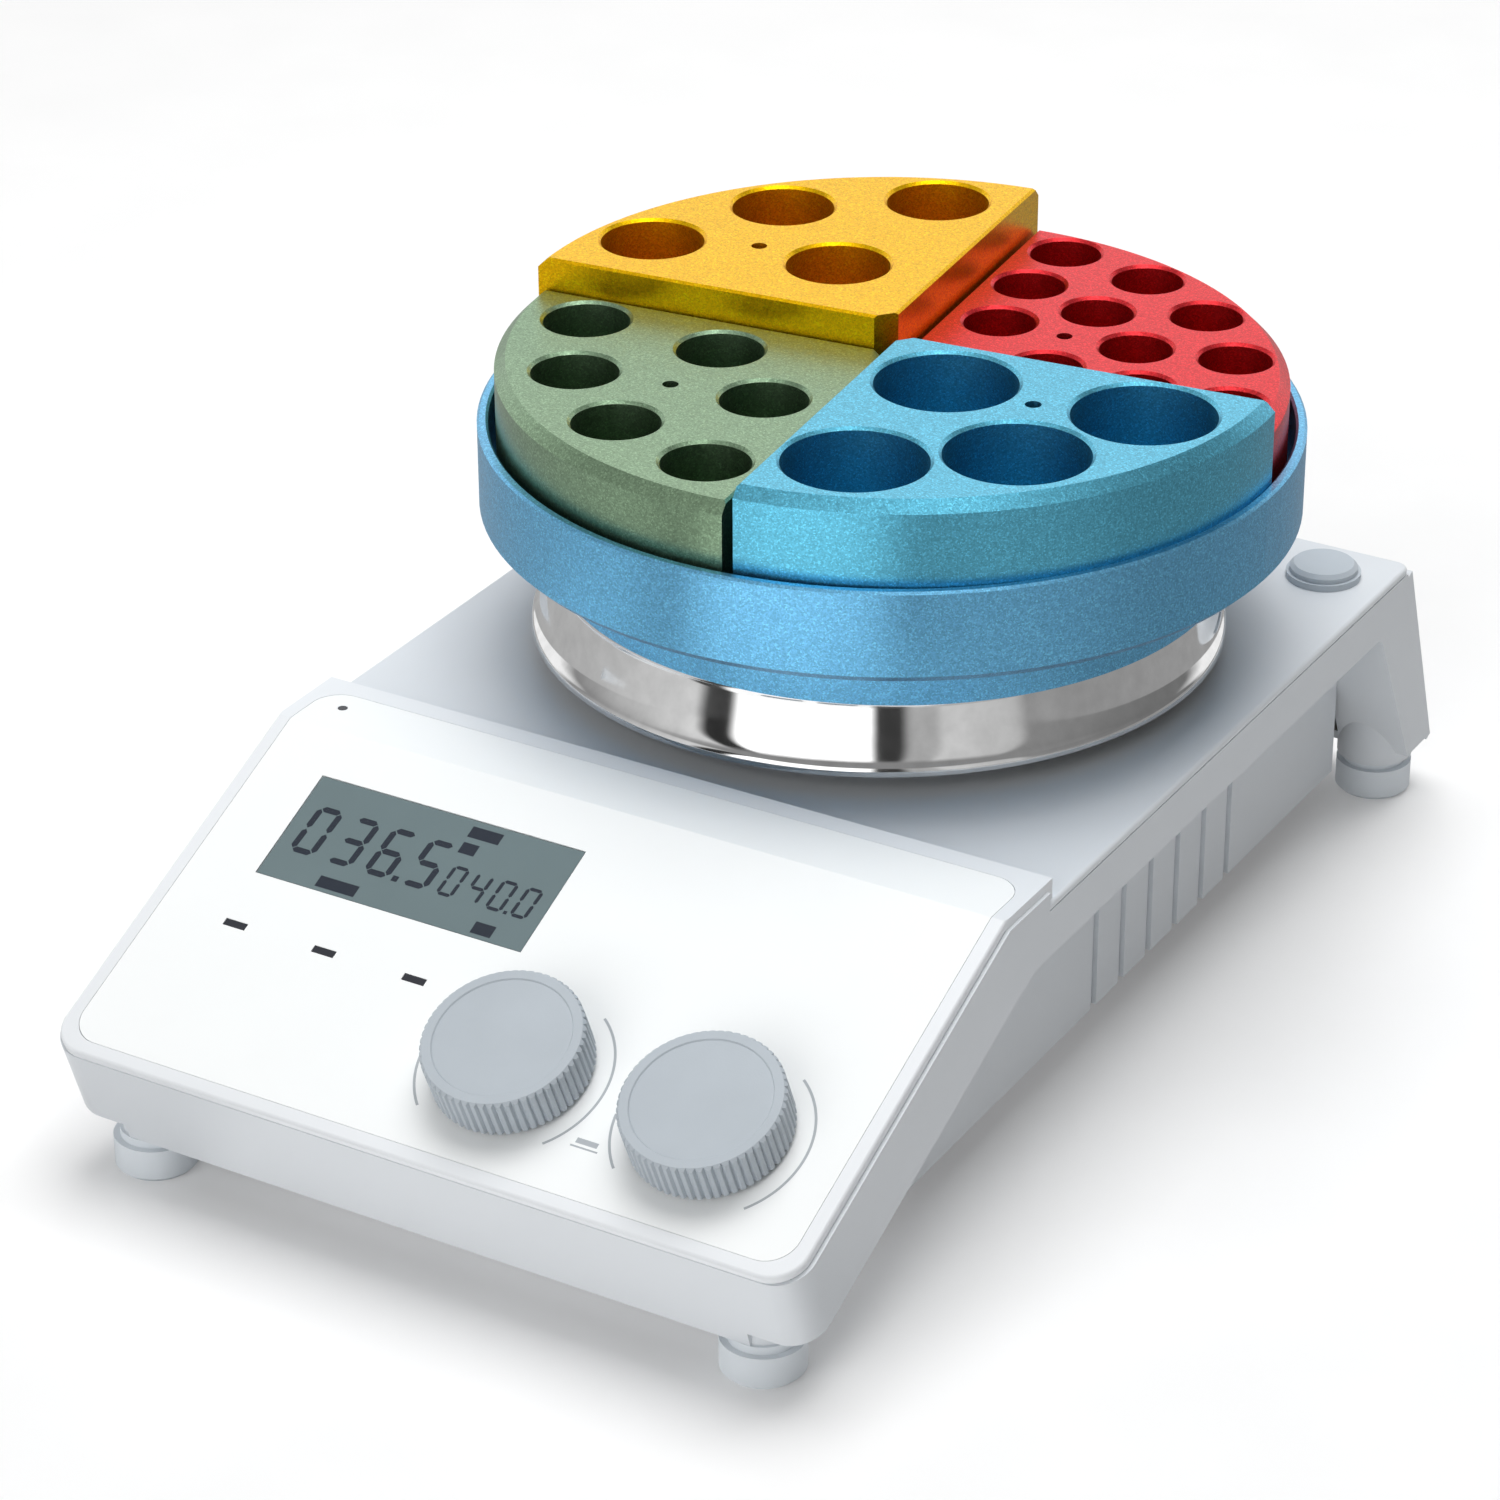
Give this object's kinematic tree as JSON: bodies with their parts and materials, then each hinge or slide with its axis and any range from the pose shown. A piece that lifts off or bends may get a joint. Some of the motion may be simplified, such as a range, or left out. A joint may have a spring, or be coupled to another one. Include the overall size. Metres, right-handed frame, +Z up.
{
  "type": "dry block heater",
  "caption": "Sloping-front hot plate base with display, push-turn knobs and a round carrier pan that holds lift-out quarter blocks with wells for warming vials.",
  "frame": {"origin": "on the floor under the middle of the object", "axes": "+X to the right of someone facing the panel, +Y to the back, +Z up"},
  "size_m": [0.1631, 0.2719, 0.1265],
  "materials": {
    "housing_paint": "smooth light grey coat",
    "frame_paint": "smooth light grey coat",
    "overlay": "fine matt printed sheet",
    "clear": "clear window",
    "display": "liquid crystal cell",
    "lens": "translucent lens",
    "knob": "fine matt grey",
    "foot": "grey moulded rubber",
    "steel": "machined",
    "polished": "polished stainless sheet",
    "aluminium": "machined",
    "board": "circuit board",
    "black_plastic": "moulded black",
    "insulation": "pressed fibre",
    "mica": "mica heating sheet",
    "magnet": "ground magnet",
    "brass": "turned",
    "plug_plastic": "moulded grey",
    "gold_anodised": "gold anodised",
    "green_anodised": "green anodised",
    "blue_anodised": "light blue anodised",
    "red_anodised": "red anodised",
    "pan_anodised": "blue bead-blasted and anodised"
  },
  "bodies": {
    "base": {"lower_housing": "housing_paint", "bottom_plate": "steel", "bottom_screws": "steel", "foot_front_right": "foot", "foot_front_left": "foot", "foot_rear_right": "foot", "foot_rear_left": "foot", "foot_screws": "steel", "top_cover": "housing_paint", "panel_frame": "frame_paint", "panel_overlay": "overlay", "display_window": "clear", "display_module": "display", "indicator_lens_left": "lens", "indicator_lens_middle": "lens", "indicator_lens_right": "lens", "power_lens": "lens", "control_board": "board", "board_screws": "steel", "left_encoder": "black_plastic", "right_encoder": "black_plastic", "rear_panel": "housing_paint", "rear_screws": "steel", "power_inlet": "black_plastic", "power_switch_frame": "black_plastic", "data_socket": "steel", "probe_socket": "brass", "hot_plate_shell": "polished", "plate_core": "aluminium", "heating_element": "mica", "insulation_ring": "insulation", "heat_shield": "steel", "plate_pillars": "steel", "plate_sensor": "steel", "thermal_cutout": "black_plastic", "motor_bracket": "steel", "stirring_motor": "steel", "power_board": "board", "rod_socket": "steel"},
    "carrier": {"block_carrier": "pan_anodised"},
    "gold_quarter": {"gold_block": "gold_anodised"},
    "green_quarter": {"green_block": "green_anodised"},
    "blue_quarter": {"blue_block": "blue_anodised"},
    "red_quarter": {"red_block": "red_anodised"},
    "left_press": {"left_switch_plunger": "black_plastic"},
    "left_dial": {"left_knob": "knob", "left_knob_shaft": "steel"},
    "right_press": {"right_switch_plunger": "black_plastic"},
    "right_dial": {"right_knob": "knob", "right_knob_shaft": "steel"},
    "rotor": {"motor_spindle": "steel", "magnet_rotor": "aluminium", "drive_magnets": "magnet"},
    "plug": {"rod_plug": "plug_plastic"},
    "rocker": {"power_switch_rocker": "black_plastic"},
    "fuse": {"fuse_drawer": "black_plastic"}
  },
  "joints": [
    {"name": "carrier_lift", "type": "slide", "parent": "base", "child": "carrier", "axis": [0, 0, 1], "range_m": [0, 0.05]},
    {"name": "gold_block_lift", "type": "slide", "parent": "carrier", "child": "gold_quarter", "axis": [0, 0, 1], "range_m": [0, 0.045]},
    {"name": "green_block_lift", "type": "slide", "parent": "carrier", "child": "green_quarter", "axis": [0, 0, 1], "range_m": [0, 0.045]},
    {"name": "blue_block_lift", "type": "slide", "parent": "carrier", "child": "blue_quarter", "axis": [0, 0, 1], "range_m": [0, 0.045]},
    {"name": "red_block_lift", "type": "slide", "parent": "carrier", "child": "red_quarter", "axis": [0, 0, 1], "range_m": [0, 0.045]},
    {"name": "left_knob_press", "type": "slide", "parent": "base", "child": "left_press", "axis": [0, 0.3987, -0.9171], "range_m": [0, 0.0006], "stiffness_N_per_m": 3000},
    {"name": "left_knob_turn", "type": "hinge", "parent": "left_press", "child": "left_dial", "pos_m": [0.0092, -0.1135, 0.03903], "axis": [0, -0.3987, 0.9171], "continuous": true},
    {"name": "right_knob_press", "type": "slide", "parent": "base", "child": "right_press", "axis": [0, 0.3987, -0.9171], "range_m": [0, 0.0006], "stiffness_N_per_m": 3000},
    {"name": "right_knob_turn", "type": "hinge", "parent": "right_press", "child": "right_dial", "pos_m": [0.0504, -0.1135, 0.03903], "axis": [0, -0.3987, 0.9171], "continuous": true},
    {"name": "rotor_spin", "type": "hinge", "parent": "base", "child": "rotor", "pos_m": [0, 0.0364, 0.018], "axis": [0, 0, 1], "continuous": true},
    {"name": "rod_plug_pull", "type": "slide", "parent": "base", "child": "plug", "axis": [0, 0, 1], "range_m": [0, 0.015]},
    {"name": "power_switch_rock", "type": "hinge", "parent": "base", "child": "rocker", "pos_m": [-0.004, 0.12604, 0.03638], "axis": [1, 0, 0], "range_deg": [0, 18]},
    {"name": "fuse_drawer_slide", "type": "slide", "parent": "base", "child": "fuse", "axis": [0, 0.9421, 0.3355], "range_m": [0, 0.014]}
  ]
}
